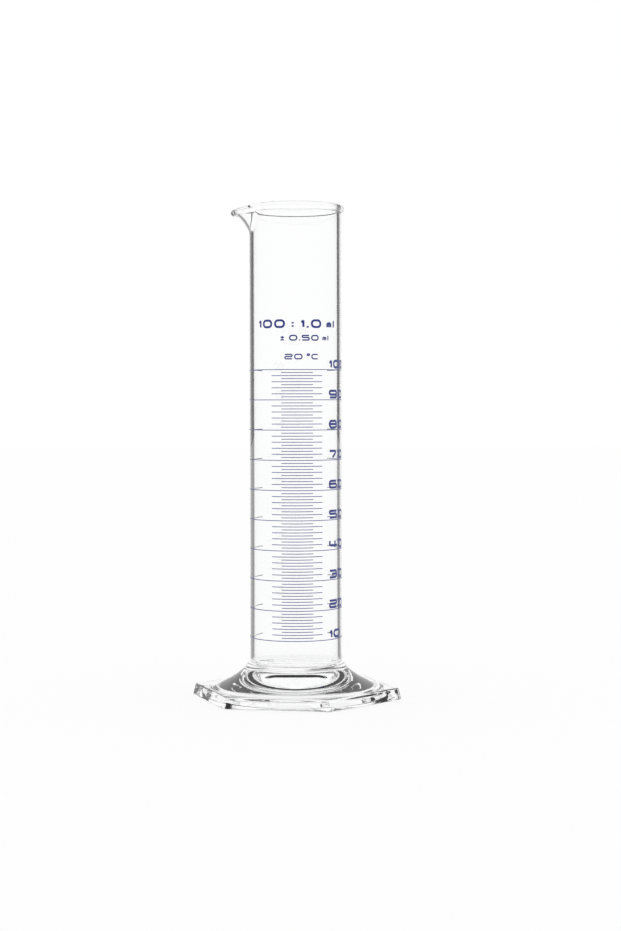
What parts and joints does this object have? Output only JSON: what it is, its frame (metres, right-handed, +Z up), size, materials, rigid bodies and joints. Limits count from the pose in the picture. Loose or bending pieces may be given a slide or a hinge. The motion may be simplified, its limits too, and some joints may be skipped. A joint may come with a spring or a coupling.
{
  "type": "graduated cylinder",
  "caption": "Clear glass graduated cylinder with a rolled rim, a pouring spout, a blue enamel scale and a hexagonal foot that is hollow underneath.",
  "frame": {"origin": "on the axis of the tube, in the plane that the foot stands on", "axes": "+Z up along the tube's axis, -X towards the pouring spout, -Y out of the front of the scale"},
  "size_m": [0.0816, 0.0804, 0.1942],
  "materials": {
    "glass": "clear borosilicate glass, fire polished",
    "enamel": "fired blue enamel print, slightly glossy"
  },
  "bodies": {
    "root": {"glass_body": "glass", "long_scale_lines": "enamel", "middle_scale_lines": "enamel", "short_scale_lines": "enamel"}
  },
  "joints": []
}
